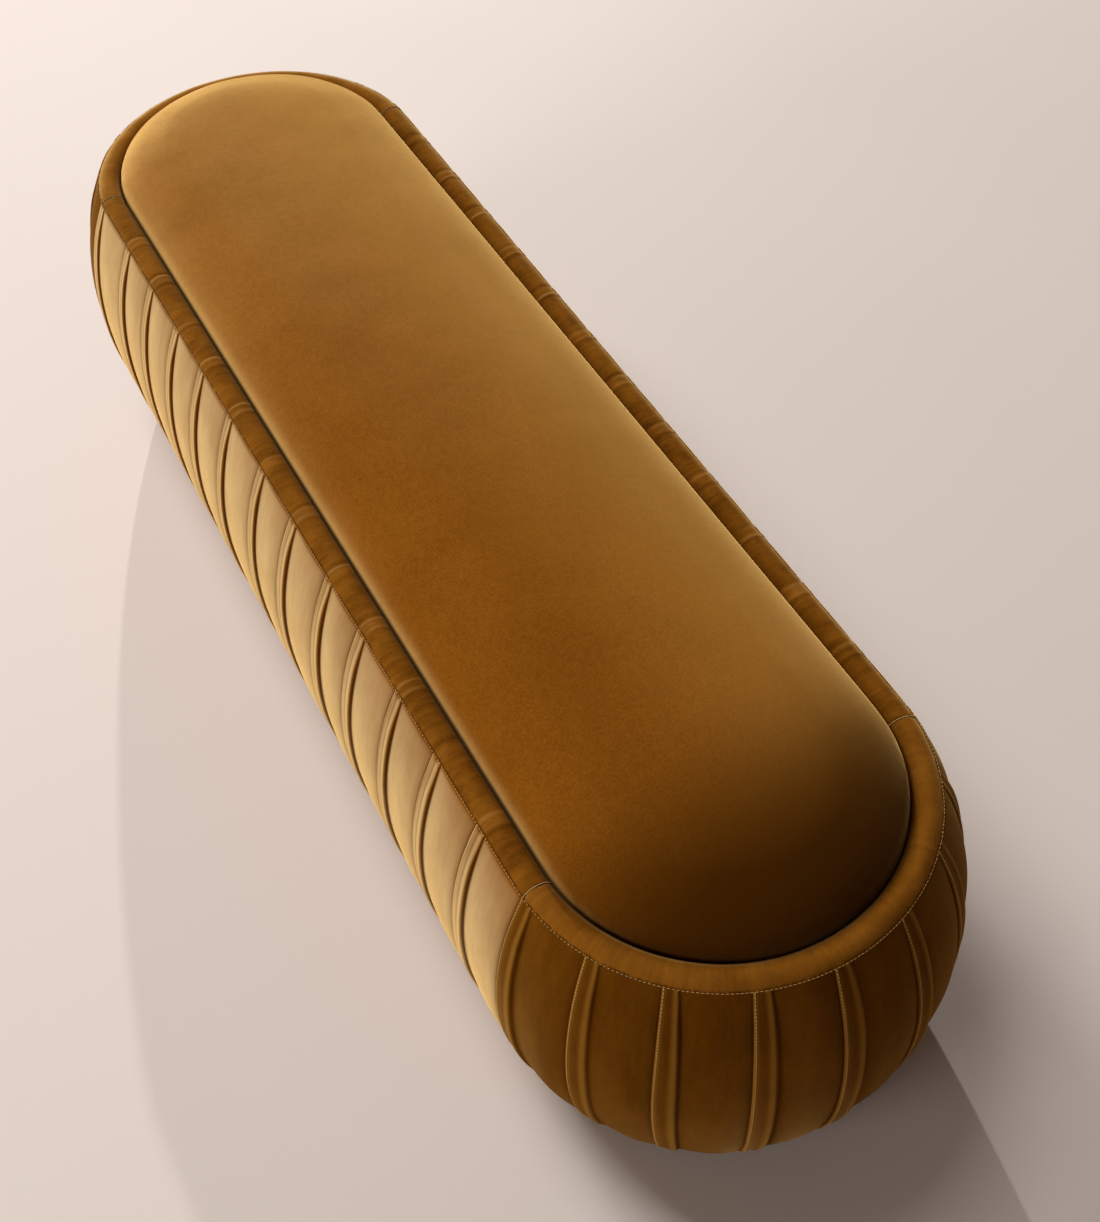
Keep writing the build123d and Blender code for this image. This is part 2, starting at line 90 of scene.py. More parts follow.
# the side's section is one large round, which turns under at the foot on a small one
rise = bench["seamHeight"] - bench["bulgeHeight"]
swell = bench["bulgeReach"] - seamReach
sideRadius = (rise**2 + swell**2) / (2 * swell)
sideCentre = bench["bulgeReach"] - sideRadius
turnHeight = bench["footHeight"] + bench["turnRadius"]
turnDrop = turnHeight - bench["bulgeHeight"]
turnReach = sideCentre + math.sqrt((sideRadius - bench["turnRadius"]) ** 2 - turnDrop**2)
turnAngle = math.atan2(turnDrop, turnReach - sideCentre)
topAngle = math.atan2(rise, seamReach - sideCentre)


def sideReachAt(height):
    return sideCentre + math.sqrt(sideRadius**2 - (height - bench["bulgeHeight"]) ** 2)


def movedOut(reach, height, way, lean):
    # a point of a section, moved outwards where the surface leans so
    return reach + way * math.cos(lean), height + way * math.sin(lean)


def sideLine(hemSteps, turnSteps, sideSteps):
    # reach, height, outward lean and share of the way up, from the hem to the seam
    line = []
    for step in range(hemSteps):
        reach = turnReach - bench["hemWidth"] * (1 - step / hemSteps)
        line.append((reach, bench["footHeight"], -math.pi / 2, 0))
    for step in range(turnSteps):
        lean = -math.pi / 2 + (turnAngle + math.pi / 2) * step / turnSteps
        line.append((*movedOut(turnReach, turnHeight, bench["turnRadius"], lean), lean, 0))
    for step in range(sideSteps + 1):
        share = step / sideSteps
        lean = turnAngle + (topAngle - turnAngle) * share
        line.append((*movedOut(sideCentre, bench["bulgeHeight"], sideRadius, lean), lean, share))
    return line


def keepMesh(work, name, smooth=True):
    mesh = bpy.data.meshes.new(name)
    work.to_mesh(mesh)
    work.free()
    for face in mesh.polygons:
        face.use_smooth = smooth
    piece = bpy.data.objects.new(name, mesh)
    bpy.context.scene.collection.objects.link(piece)
    return piece


def subdivide(piece, levels):
    modifier = piece.modifiers.new("fineness", "SUBSURF")
    modifier.levels = modifier.render_levels = levels


def applyModifiers(piece):
    graph = bpy.context.evaluated_depsgraph_get()
    shaped = bpy.data.meshes.new_from_object(piece.evaluated_get(graph))
    old = piece.data
    piece.modifiers.clear()
    piece.data = shaped
    bpy.data.meshes.remove(old)


def wrapGrid(columns, rows, place, name):
    # a grid laid over the bench, closed round its section and at both ends
    # place gives a spot, and the cloth's own length and height there, with a tone of painted shade below
    # zero and painted highlight above
    work = bmesh.new()
    cloth = work.verts.layers.float_vector.new("cloth")
    bmesh.ops.create_grid(work, x_segments=columns, y_segments=rows, size=0.5)
    for vert in work.verts:
        vert.co, vert[cloth] = place(round((vert.co.x + 0.5) * columns), round((vert.co.y + 0.5) * rows))
    bmesh.ops.remove_doubles(work, verts=work.verts, dist=weldGap)
    openEdges = [edge for edge in work.edges if edge.is_boundary]
    caps = bmesh.ops.holes_fill(work, edges=openEdges)["faces"]
    bmesh.ops.triangulate(work, faces=caps)
    bmesh.ops.recalc_face_normals(work, faces=work.faces)
    return keepMesh(work, name)


def sortMade(made):
    # the edges and the vertices among what an operator made
    edges = [item for item in made if isinstance(item, bmesh.types.BMEdge)]
    verts = [item for item in made if isinstance(item, bmesh.types.BMVert)]
    return edges, verts


def sweepSection(section, straightSteps, endSteps):
    # a section of reaches and heights, carried once round the oval
    work = bmesh.new()
    verts = [work.verts.new((-halfLength, -reach, height)) for reach, height in section]
    edges = [work.edges.new(pair) for pair in zip(verts, verts[1:])]
    for side in (1, -1):
        for step in range(straightSteps):
            edges, verts = sortMade(bmesh.ops.extrude_edge_only(work, edges=edges)["geom"])
            bmesh.ops.translate(work, verts=verts, vec=(side * straight / straightSteps, 0, 0))
        turned = bmesh.ops.spin(
            work,
            geom=verts + edges,
            cent=(side * halfLength, 0, 0),
            axis=(0, 0, 1),
            angle=math.pi,
            steps=endSteps,
        )
        edges, verts = sortMade(turned["geom_last"])
    bmesh.ops.remove_doubles(work, verts=work.verts, dist=weldGap)
    bmesh.ops.dissolve_degenerate(work, edges=work.edges, dist=weldGap / 2)
    bmesh.ops.recalc_face_normals(work, faces=work.faces)
    return work


class Wire:
    # one socket of a shader, which adds Math nodes when it is calculated with
    def __init__(self, nodes, socket):
        self.nodes = nodes
        self.socket = socket

    def maths(self, operation, other, swapped=False):
        pair = (other, self) if swapped else (self, other)
        return self.nodes.wire("ShaderNodeMath", {"operation": operation}, dict(enumerate(pair)))

    def __add__(self, other):
        return self.maths("ADD", other)

    __radd__ = __add__

    def __mul__(self, other):
        return self.maths("MULTIPLY", other)

    __rmul__ = __mul__

    def __sub__(self, other):
        return self.maths("SUBTRACT", other)

    def __rsub__(self, other):
        return self.maths("SUBTRACT", other, swapped=True)

    def clamp(self):
        return self.nodes.wire("ShaderNodeClamp", {}, {"Value": self})


class Nodes:
    # a node tree, and the one way in which its nodes are made
    def __init__(self, tree):
        self.tree = tree
        self.tree.nodes.clear()

    def node(self, kind, settings, inputs):
        made = self.tree.nodes.new(kind)
        for name, value in settings.items():
            setattr(made, name, value)
        for place, value in inputs.items():
            socket = made.inputs[place.replace("_", " ") if isinstance(place, str) else place]
            if isinstance(value, Wire):
                self.tree.links.new(value.socket, socket)
            elif isinstance(value, tuple) and len(value) == 3 and socket.type == "RGBA":
                socket.default_value = (*value, 1)
            else:
                socket.default_value = value
        return made

    def wire(self, kind, settings, inputs, output=0):
        return Wire(self, self.node(kind, settings, inputs).outputs[output])


class Finish(Nodes):
    # a material
    def __init__(self, name, **constants):
        self.material = bpy.data.materials.new(name)
        self.material.use_nodes = True
        super().__init__(self.material.node_tree)
        self.shader = self.node("ShaderNodeBsdfPrincipled", {}, constants)
        self.surface = Wire(self, self.shader.outputs[0])
        self.output = self.node("ShaderNodeOutputMaterial", {}, {"Surface": self.surface})

    def place(self, stretch=(1, 1, 1)):
        return self.spread(self.wire("ShaderNodeTexCoord", {}, {}, "Object"), stretch)

    def spread(self, place, stretch):
        return self.wire("ShaderNodeMapping", {}, {"Vector": place, "Scale": stretch})

    def axis(self, place, letter):
        return self.wire("ShaderNodeSeparateXYZ", {}, {"Vector": place}, letter)

    def noise(self, place, scale, detail=2, roughness=0.5, distortion=0):
        inputs = {
            "Vector": place,
            "Scale": scale,
            "Detail": detail,
            "Roughness": roughness,
            "Distortion": distortion,
        }
        return self.wire("ShaderNodeTexNoise", {}, inputs)

    def band(self, value, low, high, first=0, last=1):
        inputs = {"Value": value, "From Min": low, "From Max": high, "To Min": first, "To Max": last}
        return self.wire("ShaderNodeMapRange", {"interpolation_type": "SMOOTHSTEP"}, inputs)

    def evened(self, value, first=0, last=1):
        # most of a noise texture's values lie between 0.3 and 0.7
        return self.band(value, 0.3, 0.7, first, last)

    def mix(self, first, second, factor):
        # a Mix node's colours are its inputs 6 and 7 and its output 2
        return self.wire("ShaderNodeMix", {"data_type": "RGBA"}, {0: factor, 6: first, 7: second}, 2)

    def bump(self, height, distance, below=None):
        inputs = {"Height": height, "Distance": distance, "Strength": 1}
        if below:
            inputs["Normal"] = below
        return self.wire("ShaderNodeBump", {}, inputs)

    def feed(self, **inputs):
        for name, value in inputs.items():
            self.tree.links.new(value.socket, self.shader.inputs[name.replace("_", " ")])
        return self.material


seatPaintedLight = {
    "creaseFrom": 0.364,  # the crevice's shade fades out between these heights
    "creaseTo": 0.377,
    "paler": (0.56, 0.30, 0.065),
    "palerFrom": -0.06,  # painted light: the seat is paler towards the back
    "palerTo": 0.17,
    "palerShare": 0.3,
    "turned": (0.050, 0.015, 0.0006),
    "endShadeFrom": 0.51,  # painted shade: the seat darkens near the right end, where its dome turns away from the light
    "endShadeTo": 0.71,
    "endShadeShare": 0.96,
    "endShadeSlant": 0.08,
    "endShadeWander": 0.04,
}


def velvet(name, look):
    # a short dense pile: dark seen straight on, with a painted sheen that pales it where it is seen along
    # the surface
    finish = Finish(
        name,
        Specular_IOR_Level=look["gloss"],
        Sheen_Weight=look["sheen"],
        Sheen_Roughness=look["sheenRoughness"],
        Sheen_Tint=look["sheenTint"],
    )
    place = finish.place()
    cloth = place
    if look["ownCloth"]:
        cloth = finish.wire("ShaderNodeAttribute", {"attribute_name": "cloth"}, {}, "Vector")
    cloudPlace = finish.spread(cloth, look["cloudStretch"])
    cloud = finish.noise(cloudPlace, look["cloudScale"], detail=3, roughness=0.55, distortion=0.4)
    brushPlace = finish.spread(cloth, look["brushStretch"])
    brushed = finish.noise(brushPlace, look["brushScale"], detail=3, roughness=0.6)
    grain = finish.noise(place, look["grainScale"], roughness=0.7)
    nap = finish.evened(cloud) * 0.6 + finish.evened(brushed) * 0.4
    tone = (nap * look["napShare"] + finish.band(grain, 0.32, 0.68) * look["grainShare"]).clamp()
    colour = finish.mix(look["dark"], look["light"], tone)
    # painted sheen: the colour pales towards the rim colour where the surface is seen edge-on
    facing = finish.wire("ShaderNodeLayerWeight", {}, {"Blend": 0.5}, "Facing")
    paintedSheen = finish.band(facing, look["rimStart"], look["rimEnd"], 0, look["rimShare"])
    colour = finish.mix(colour, look["rim"], paintedSheen * (1 - (1 - nap) * look["rimNap"]))
    if look["ownCloth"]:
        # painted shade darkens the creases and a painted highlight pales the crests of folds
        shadeAndHighlight = finish.axis(cloth, "Z")
        paintedShade = (shadeAndHighlight * -look["creaseShare"]).clamp()
        colour = finish.mix(colour, look["crest"], (shadeAndHighlight * look["crestShare"]).clamp())
    else:
        length, width, height = (finish.axis(place, letter) for letter in "XYZ")
        # painted shade in the crevice, painted light towards the back and painted shade near the right end
        paintedShade = finish.band(height, seatPaintedLight["creaseFrom"], seatPaintedLight["creaseTo"], look["creaseShare"], 0)
        paler = finish.band(width, seatPaintedLight["palerFrom"], seatPaintedLight["palerTo"], 0, seatPaintedLight["palerShare"])
        colour = finish.mix(colour, seatPaintedLight["paler"], paler)
        slanted = length + width * seatPaintedLight["endShadeSlant"] + cloud * seatPaintedLight["endShadeWander"]
        turned = finish.band(slanted, seatPaintedLight["endShadeFrom"], seatPaintedLight["endShadeTo"], 0, seatPaintedLight["endShadeShare"])
        colour = finish.mix(colour, seatPaintedLight["turned"], turned)
    roughness = finish.band(brushed, 0.2, 0.8, *look["roughness"])
    fuzz = finish.bump(grain, look["grainDepth"], finish.bump(cloud, look["cloudDepth"]))
    material = finish.feed(Base_Color=colour, Roughness=roughness, Normal=fuzz)
    # painted shade: a dark diffuse surface is mixed over the creases and the crevice
    shade = finish.wire("ShaderNodeBsdfDiffuse", {}, {"Color": look["crease"]})
    both = finish.wire("ShaderNodeMixShader", {}, {0: paintedShade, 1: finish.surface, 2: shade})
    finish.tree.links.new(both.socket, finish.output.inputs["Surface"])
    return material


velvetLook = {
    "dark": (0.155, 0.047, 0.0024),
    "light": (0.250, 0.086, 0.0070),
    "rim": (0.74, 0.46, 0.155),  # the painted sheen's colour, seen along the surface
    "rimStart": 0.23,
    "rimEnd": 0.92,
    "rimShare": 0.85,
    "rimNap": 0.25,
    # painted shade mixed into creases and the crevice
    "crease": (0.05, 0.014, 0.0005),
    # painted highlight on the crests of folds
    "crest": (0.62, 0.40, 0.15),
    "creaseShare": 0.9,
    "crestShare": 0.5,
    "roughness": (0.75, 0.95),
    "gloss": 0.0,
    "sheen": 0.8,
    "sheenRoughness": 0.35,
    "sheenTint": (1.0, 0.64, 0.22),
    "ownCloth": False,  # True where the pattern follows the cloth round its folds
    "cloudStretch": (1, 1, 1),
    "cloudScale": 6,
    "cloudDepth": 0.0003,
    "brushStretch": (1, 1, 1),
    "brushScale": 110,
    "grainScale": 420,
    "grainDepth": 0.00015,
    "napShare": 0.5,
    "grainShare": 0.5,
}
sideLook = {
    **velvetLook,
    "rim": (0.63, 0.46, 0.225),
    "rimStart": 0.28,
    "rimEnd": 0.80,
    "rimShare": 0.88,
    "rimNap": 0.3,
    "ownCloth": True,
    "cloudStretch": (1, 0.55, 0),
    "cloudScale": 18,
    "brushStretch": (1, 0.2, 0),
    "brushScale": 130,
    "napShare": 0.55,
    "grainShare": 0.2,
}
# a darker, shaded copy of the side velvet for the ends: painted shade
shadedEndLook = {
    **sideLook,
    "dark": (0.084, 0.026, 0.0010),
    "light": (0.160, 0.054, 0.0032),
    "rim": (0.50, 0.24, 0.03),
    "rimShare": 0.06,
    "crest": (0.40, 0.19, 0.03),
    "creaseShare": 0.5,
    "sheen": 0.25,
}
cuffLook = {
    **velvetLook,
    "dark": (0.105, 0.033, 0.0018),
    "light": (0.270, 0.098, 0.0085),
    "rimStart": 0.35,
    "rimShare": 0.3,
    "crestShare": 0.35,
    "ownCloth": True,
    "cloudStretch": (1, 1, 0),
    "cloudScale": 24,
    "brushStretch": (1, 0.16, 0),
    "brushScale": 160,
    "napShare": 0.85,
    "grainShare": 0.15,
}
# a paler, lit copy of the cuff velvet for the ends: painted light and more painted sheen
litEndCuffLook = {
    **cuffLook,
    "dark": (0.175, 0.060, 0.0045),
    "light": (0.320, 0.122, 0.0130),
    "rimShare": 0.6,
    "napShare": 0.6,
}
seatVelvet = velvet("seatVelvet", velvetLook)
sideVelvet = velvet("sideVelvet", sideLook)
endVelvet = velvet("endVelvet", shadedEndLook)
cuffVelvet = velvet("cuffVelvet", cuffLook)
endCuffVelvet = velvet("endCuffVelvet", litEndCuffLook)


def threadFinish():
    finish = Finish("goldThread", Specular_IOR_Level=0.15, Sheen_Weight=0.3, Sheen_Tint=(1.0, 0.7, 0.3))
    twist = finish.wire(
        "ShaderNodeTexWave",
        {"wave_type": "BANDS", "bands_direction": "DIAGONAL"},
        {"Vector": finish.place(), "Scale": 900, "Distortion": 1.5, "Detail": 1},
    )
    colour = finish.mix((0.50, 0.30, 0.08), (0.90, 0.62, 0.26), twist)
    roughness = finish.band(twist, 0, 1, 0.6, 0.45)
    return finish.feed(Base_Color=colour, Roughness=roughness, Normal=finish.bump(twist, 0.0002))


goldThread = threadFinish()

pad = {
    "top": 0.4163,
    "low": 0.3642,  # where the dome starts, just under the cuff's inner edge
    "bottom": 0.3545,
    "bottomRound": 0.003,
    "domeSteps": 26,
    "roundness": 4.8,  # how flat the top is before it rolls over
    "edgePower": 0.38,
    "shrink": 0.003,  # it starts lower and swells in the simulation
    "voxel": 0.0072,
    "pressure": 4,
    "quality": 5,
    "frames": 20,
    "heldTo": 0.004,  # heights above low: held fast to the first, free from the second
    "freeFrom": 0.02,
    "mostMove": 0.004,
    "evening": 14,
    "moveWithin": 0.012,
    "smoothing": 6,
    "edgeFrom": 0.165,  # its edge spreads against the cuff between these reaches
    "edgeTo": 0.175,
    "edgeSpread": 0.002,
    "edgeOverlap": 0.0002,
    "wallFrom": 0.364,  # and below these heights it is pressed to the cuff's wall
    "wallTo": 0.374,
    "wallShare": 0.85,
    "topFrom": 0.37,  # above these heights the padding shows
    "topTo": 0.40,
    "hollows": 0.0011,
    "dents": 0.0004,
}


def padSection(shrink):
    reach = bench["padReach"]
    dome = pad["top"] - shrink - pad["low"]
    steps = pad["domeSteps"]
    section = []
    for step in range(steps + 1):
        share = math.sin(step / steps * math.pi / 2)
        height = pad["low"] + dome * (1 - share ** pad["roundness"]) ** pad["edgePower"]
        section.append((reach * share, height))
    bottom, turn = pad["bottom"], pad["bottomRound"]
    section += [(reach, (pad["low"] + bottom) / 2), (reach, bottom + turn), (reach - turn, bottom)]
    section += [(reach * share, bottom) for share in (0.75, 0.5, 0.25, 0)]
    return section


def evenMesh(piece):
    # the simulation needs faces of one size
    remesh = piece.modifiers.new("evenMesh", "REMESH")
    remesh.mode = "VOXEL"
    remesh.voxel_size = pad["voxel"]
    remesh.use_smooth_shade = True
    applyModifiers(piece)


def swellPad(piece):
    # the cloth swells under pressure, with every point's way capped
    start = [vert.co.copy() for vert in piece.data.vertices]
    held = piece.vertex_groups.new(name="held")
    for vert in piece.data.vertices:
        hold = 1 - smoothStep(pad["low"] + pad["heldTo"], pad["low"] + pad["freeFrom"], vert.co.z)
        if hold > 0:
            held.add([vert.index], hold, "REPLACE")
    cloth = piece.modifiers.new("swelling", "CLOTH")
    cloth.settings.use_pressure = True
    cloth.settings.uniform_pressure_force = pad["pressure"]
    cloth.settings.effector_weights.gravity = 0
    cloth.settings.vertex_group_mass = "held"
    cloth.settings.quality = pad["quality"]
    cloth.point_cache.frame_start, cloth.point_cache.frame_end = 1, pad["frames"]
    scene = bpy.context.scene
    for step in range(1, pad["frames"] + 1):
        scene.frame_set(step)
    applyModifiers(piece)
    scene.frame_set(1)
    moves = []
    for vert, before in zip(piece.data.vertices, start):
        move = vert.co - before
        if move.length > pad["mostMove"]:
            move = move.normalized() * pad["mostMove"]
        moves.append(move)
    for turn in range(pad["evening"]):
        # the way of each point is evened out with its neighbours', which leaves no dents
        sums = [move.copy() for move in moves]
        counts = [1] * len(moves)
        for edge in piece.data.edges:
            first, second = edge.vertices
            sums[first] += moves[second]
            sums[second] += moves[first]
            counts[first] += 1
            counts[second] += 1
        moves = [total / count for total, count in zip(sums, counts)]
    for vert, before, move in zip(piece.data.vertices, start, moves):
        vert.co = before + move * smoothStep(pad["low"], pad["low"] + pad["moveWithin"], before.z)


def smoothPad(piece):
    work = bmesh.new()
    work.from_mesh(piece.data)
    for turn in range(pad["smoothing"]):
        bmesh.ops.smooth_vert(
            work, verts=work.verts, factor=0.5, use_axis_x=True, use_axis_y=True, use_axis_z=True
        )
    work.to_mesh(piece.data)
    work.free()
    for face in piece.data.polygons:
        face.use_smooth = True


def pressEdge(vert):
    # the edge presses against the cuff all round
    spine = Vector((min(max(vert.co.x, -halfLength), halfLength), 0, vert.co.z))
    outward = vert.co - spine
    reach = outward.length
    if reach > pad["edgeFrom"]:
        limit = bench["padReach"] + pad["edgeOverlap"]
        pressed = pad["wallShare"] * (1 - smoothStep(pad["wallFrom"], pad["wallTo"], vert.co.z))
        wider = min(reach + pad["edgeSpread"] * smoothStep(pad["edgeFrom"], pad["edgeTo"], reach), limit)
        vert.co = spine + outward * ((limit - (limit - wider) * (1 - pressed)) / reach)


def addHollows(vert):
    # slight hollows and swellings left by the padding
    x, y, z = vert.co
    top = smoothStep(pad["topFrom"], pad["topTo"], z)
    hollow = pad["hollows"] * top * wobble(x * 5, y * 7, 3.1)
    vert.co.z += hollow + pad["dents"] * top * wobble(x * 18, y * 18, 9.7)


def makeSeatPad():
    shrink = pad["shrink"]
    piece = keepMesh(sweepSection(padSection(shrink), straightSteps=48, endSteps=24), "seatPad")
    evenMesh(piece)
    swellPad(piece)
    smoothPad(piece)
    for vert in piece.data.vertices:
        pressEdge(vert)
        addHollows(vert)
    subdivide(piece, 1)
    piece.data.materials.append(seatVelvet)
    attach(piece, "root")
    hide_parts("seat_cover", "seat_wadding", "seat_foam")
    print("seat pad made")


makeSeatPad()

fold = {
    # one pleat across, in millimetres from its first edge and out from the side
    "across": [
        (-0.3, -1.3), (-0.8, 0.2), (-0.3, 1.6), (0.8, 2.3), (2.2, 2.0), (4.6, 1.8), (7.4, 2.1),
        (9.2, 1.9), (11.2, 2.4), (13.6, 3.0), (16.0, 3.1), (17.6, 2.5), (18.6, 1.3), (19.2, 0.2),
        (20.0, -0.4), (21.6, -0.3), (24.5, 0.1), (30.5, 0.8), (39.0, 1.8),
    ],
    # how much painted shade darkens the crease, or painted highlight pales the crest, at each of those
    # places and over the panel
    "tone": [
        -0.9, -0.1, 0.8, 1.0, 0.5, 0.0, -0.2, -0.4, 0.0, 0.5, 0.7, 0.2, -0.5, -0.9, -0.8, -0.3,
        -0.05, 0.0, 0.0, 0.0, 0.0, 0.0, 0.0, -0.2, -0.7,
    ],
    "panelShares": [0.2, 0.4, 0.6, 0.8],
    "panelPuff": [2.5, 3.0, 2.8, 2.0],
    "leastPuff": 0.25,
    "beforeNext": [(-4.0, 0.8), (-1.6, -0.4)],
    "seamWidth": 0.80,  # the pleats close up towards the seam
    "bellyWidth": 1.06,
    "footWidth": 0.9,
    "seamHeightShare": 0.35,
    "footHeightShare": 0.6,
    "widthVaries": 0.09,
    "heightVaries": 0.22,
    "drift": 0.0022,
}
pleats = {
    "onSide": 13,
    "onEnd": 8,
    "firstEdge": -0.025,
    "lastEdge": 0.015,
    # places on the front and round the right end, listed in millimetres from even spacing
    "frontShift": [1, 11, 6, 5, -1, -1, 6, 5, 11, 3, 3, -1, 1],
    "endShift": [0, 4, 0, 0, -3, -2, 0, 0],
}


def pleatEdges():
    # the first edge of every pleat, along the seam from the front's left end
    edges = []
    endLength = halfRound - pleats["lastEdge"] + pleats["firstEdge"]
    sideLength = straight + pleats["lastEdge"] - pleats["firstEdge"]
    for half in range(2):
        start = half * (straight + halfRound) + pleats["firstEdge"]
        for count in range(pleats["onSide"]):
            shift = pleats["frontShift"][count] / 1000 if half == 0 and count else 0
            edges.append(start + sideLength * count / pleats["onSide"] + shift)
        start += sideLength
        for count in range(pleats["onEnd"]):
            shift = pleats["endShift"][count] / 1000 if half == 0 and count else 0
            edges.append(start + endLength * count / pleats["onEnd"] + shift)
    return edges


edgeOfPleat = pleatEdges()
pleatTotal = len(edgeOfPleat)


def pleatEdge(number):
    return edgeOfPleat[number % pleatTotal] + wholeWay * (number // pleatTotal)


def pleatWidth(number, share):
    # how wide a pleat is at a share of the way up
    belly = math.sin(math.pi * min(max(share, 0), 1)) ** 0.7
    base = fold["footWidth"] + (fold["seamWidth"] - fold["footWidth"]) * share
    width = base + (fold["bellyWidth"] - base) * belly
    return width * (1 + fold["widthVaries"] * wobble(number * 3.7, share * 2.2, 1.5))


def pleatHeight(number, share):
    high = 1 - (1 - fold["seamHeightShare"]) * smoothStep(0.86, 1, share)
    high *= fold["footHeightShare"] + (1 - fold["footHeightShare"]) * smoothStep(-0.05, 0.2, share)
    return high * (1 + fold["heightVaries"] * wobble(number * 5.1, share * 1.8, 7.2))


def pleatDrift(number, share):
    # the fold wanders a little between seam and foot
    free = math.sin(math.pi * min(max(share, 0), 1))
    return fold["drift"] * wobble(number * 2.3, share * 2.0, 4.4) * free


def crossing(number, column, share):
    # distance along the seam and height off the side for one column of one panel
    across = fold["across"]
    shares = fold["panelShares"]
    start = pleatEdge(number) + pleatDrift(number, share)
    end = pleatEdge(number + 1) + pleatDrift(number + 1, share)
    width = pleatWidth(number, share) / 1000
    high = pleatHeight(number, share) / 1000
    belly = math.sin(math.pi * min(max(share, 0.02), 1)) ** 0.6
    puff = (fold["leastPuff"] + (1 - fold["leastPuff"]) * belly) / 1000
    if column < len(across):
        offset, height = across[column]
        lift = puff if column >= len(across) - 2 else high
        return start + offset * width, height * lift
    column -= len(across)
    foldEnd = start + across[-1][0] * width
    if column < len(shares):
        nearNext = end + fold["beforeNext"][0][0] * width
        at = foldEnd + (nearNext - foldEnd) * shares[column]
        return at, fold["panelPuff"][column] * puff
    column -= len(shares)
    offset, height = fold["beforeNext"][column]
    return end + offset * width, height * puff


perPanel = len(fold["across"]) + len(fold["panelShares"]) + len(fold["beforeNext"])
sideRows = sideLine(hemSteps=3, turnSteps=7, sideSteps=50)
sideCloth = {
    "softWrinkles": 0.0006,
    "fineWrinkles": 0.0003,
    "wrinkleReach": 0.23,
    "hemLift": 0.0015,  # the folds lie nearly flat under the foot
    "boardGap": 0.0003,
}


def wrinkle(along, height):
    # small creases and swellings of the cloth itself
    spot = spotAt(along, sideCloth["wrinkleReach"], 0)
    soft = wobble(spot.x * 14, spot.y * 14, height * 5) * sideCloth["softWrinkles"]
    fine = wobble(spot.x * 45, spot.y * 45, height * 12 + 20) * sideCloth["fineWrinkles"]
    return soft + fine


def makeSide(name, node, firstPleat, panels):
    # the rows inside: how far in from the outer face, or what they lie on, and the height
    inner = [
        (0.0018, 0.3668), (0.0022, 0.352), (0.0022, 0.3405),
        ("board", 0.3398), ("board", 0.28), ("board", 0.16), ("board", 0.06), ("board", 0.0146),
        ("hem", 0.0145), ("hem", bench["footHeight"]),
    ]
    reaches = {"board": bench["boardReach"] + sideCloth["boardGap"], "hem": turnReach - bench["hemWidth"]}

    def place(column, row):
        number = min(firstPleat + column // perPanel, firstPleat + panels - 1)
        step = column - (number - firstPleat) * perPanel
        share = sideRows[min(row, len(sideRows) - 1)][3]
        if step == perPanel:
            along, lift = crossing(number + 1, 0, share)
        else:
            along, lift = crossing(number, step, share)
        if row >= len(sideRows):
            depth, height = inner[row - len(sideRows)]
            reach = reaches[depth] if depth in reaches else sideReachAt(height) - depth
            return spotAt(along, reach, height), (along, height, 0)
        reach, height, lean, share = sideRows[row]
        lift += wrinkle(along, height) * smoothStep(0, 0.1, share) * (1 - smoothStep(0.93, 1, share))
        if lean <= -math.pi / 2:
            lift = min(lift, sideCloth["hemLift"])
        # painted shade in the crease and painted highlight on the crest of each pleat
        tone = fold["tone"][step % perPanel]
        return spotAt(along, *movedOut(reach, height, lift, lean)), (along, height, tone)

    piece = wrapGrid(panels * perPanel, len(sideRows) + len(inner) - 1, place, name)
    subdivide(piece, 1)
    # the ends get the shaded copy: painted shade
    piece.data.materials.append(endVelvet if "End" in name else sideVelvet)
    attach(piece, "root")
    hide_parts(f"side_cover_{node}", f"side_wadding_{node}", f"side_foam_{node}", f"pleats_{node}")


# the four lengths of velvet round the bench: name, node, first pleat and how many panels
lengths = [
    ("front", "front", 0, pleats["onSide"]),
    ("rightEnd", "right_end", pleats["onSide"], pleats["onEnd"]),
    ("back", "back", pleats["onSide"] + pleats["onEnd"], pleats["onSide"]),
    ("leftEnd", "left_end", 2 * pleats["onSide"] + pleats["onEnd"], pleats["onEnd"]),
]
for tail, node, firstPleat, panels in lengths:
    makeSide(f"pleatedSide_{tail}", node, firstPleat, panels)
print("sides made")

cuff = {
    "gap": 0.0004,  # between its inner wall and the pad
    "seamInset": 0.0003,
    "innerDrop": 0.003,
    "crown": 0.0075,
    "crownSteps": 14,
    "outerRound": 2.1,  # how squarely the crown falls to the seam
    "innerRound": 3.0,  # and to the pad
    "seamTuck": 0.0006,
    "mostLean": 0.75,
    "bottom": 0.3405,
    "bottomInset": 0.0026,
    "stepLength": 0.0025,
    # ridges by each pleat: middle and width in millimetres from its edge, and height
    "ridges": [(0.5, 1.7, 1.0), (6.0, 2.4, 0.35), (12.0, 2.6, 0.6), (-4.5, 2.6, -0.5), (17.0, 3.0, -0.5)],
    "pucker": 0.0007,
    "endLoss": 0.85,  # how much fainter the ridges are round the ends
    "wobbleReach": 0.195,
    "fineWobble": 0.0007,
    "softWobble": 0.0005,
    "jointDepth": 0.0006,
    "jointWidth": 0.003,
    # painted highlight on the pucker ridges and painted shade on the cuff: crest and darker set how strong,
    # and over which rows
    "crest": 0.9,
    "darker": 0.15,
    "shadeRow": 7,  # the rows from here to the crevice lie in the pad's shade
    "creviceRow": 13,
    "shade": 0.4,
}


